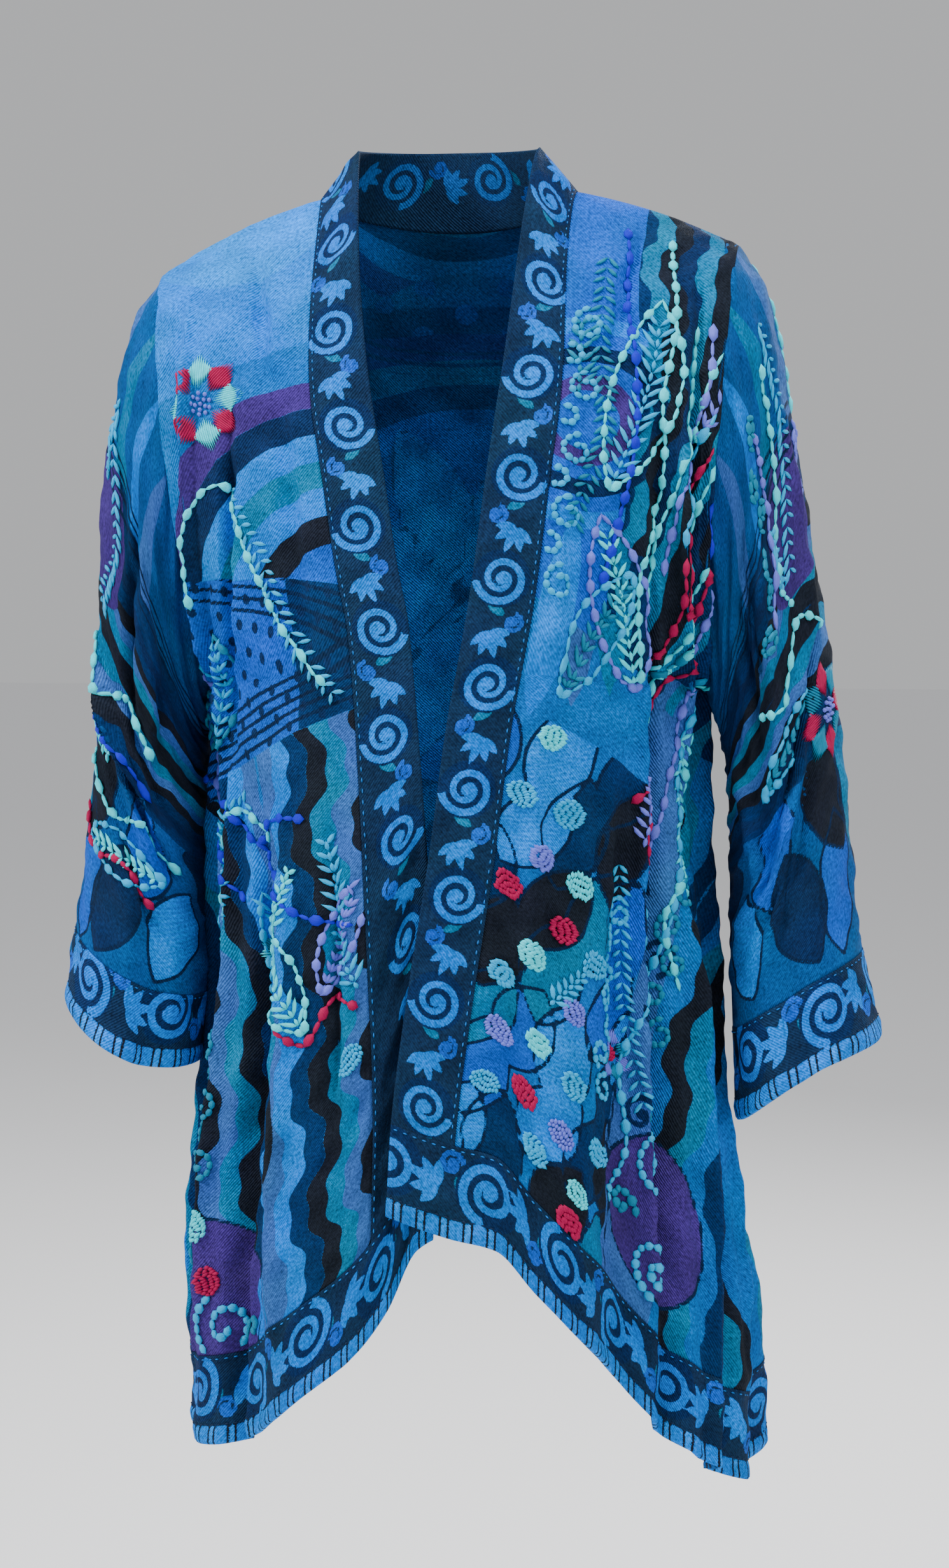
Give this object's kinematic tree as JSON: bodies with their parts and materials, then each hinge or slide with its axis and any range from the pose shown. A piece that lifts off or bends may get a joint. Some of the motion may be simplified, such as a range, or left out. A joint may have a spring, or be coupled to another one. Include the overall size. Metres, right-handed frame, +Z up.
{
  "type": "open-front embroidered jacket",
  "caption": "Hip-length open-front jacket with wide sleeves, a banded neck and front, spiral-patterned borders and sides that dip to points, in its worn hollow shape.",
  "frame": {"origin": "between the two shoulder-neck points, where the wearer's shoulders carry the jacket", "axes": "+Z up, -Y the way the wearer faces, +X the wearer's left"},
  "size_m": [0.6066, 0.3493, 0.9891],
  "materials": {
    "front_field": "patterned wool-like twill in blues, teals and purples with raised embroidery",
    "back_field": "patterned wool-like twill in blues and teals",
    "sleeve_field": "patterned wool-like twill in dark blues and teals with raised embroidery",
    "border_strip": "navy twill woven with azure spirals"
  },
  "bodies": {
    "root": {"back_panel": "back_field", "front_left": "front_field", "front_right": "front_field", "sleeve_left": "sleeve_field", "sleeve_right": "sleeve_field", "front_band_left": "border_strip", "front_band_right": "border_strip", "neck_band": "border_strip", "hem_border_left": "border_strip", "hem_border_right": "border_strip", "hem_border_back": "border_strip", "cuff_band_left": "border_strip", "cuff_band_right": "border_strip"}
  },
  "joints": []
}
